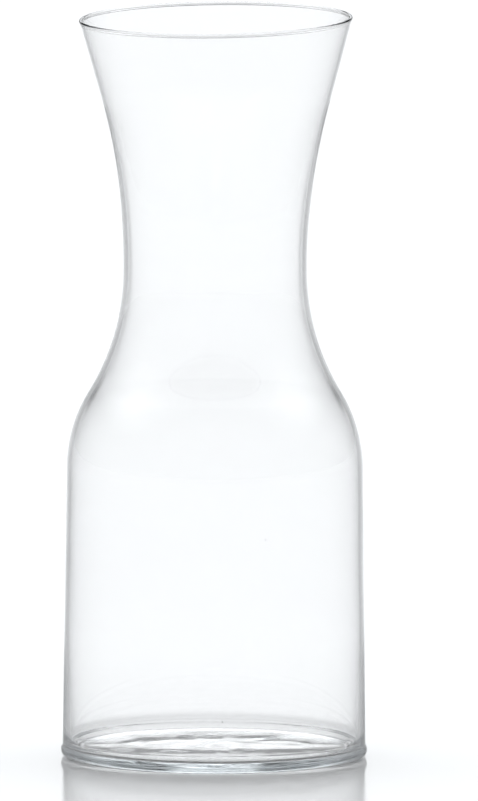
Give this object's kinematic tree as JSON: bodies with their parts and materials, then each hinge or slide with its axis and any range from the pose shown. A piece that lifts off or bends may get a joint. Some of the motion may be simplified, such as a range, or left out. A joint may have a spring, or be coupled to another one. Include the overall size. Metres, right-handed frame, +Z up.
{
  "type": "carafe",
  "caption": "Clear glass carafe with a nearly straight body, rounded heel and shoulder, waisted neck and wide flared mouth, for serving and pouring water, juice or wine.",
  "frame": {"origin": "middle of the standing ring, on the surface that the carafe stands on", "axes": "+Z is up, along the axis of the carafe from its base to its mouth; X and Y lie in the standing surface, and the carafe is the same all round"},
  "size_m": [0.1048, 0.1048, 0.2544],
  "materials": {
    "clear_glass": "fire-polished, clear and colourless with a faint cool tint"
  },
  "bodies": {
    "root": {"glass_body": "clear_glass"}
  },
  "joints": []
}
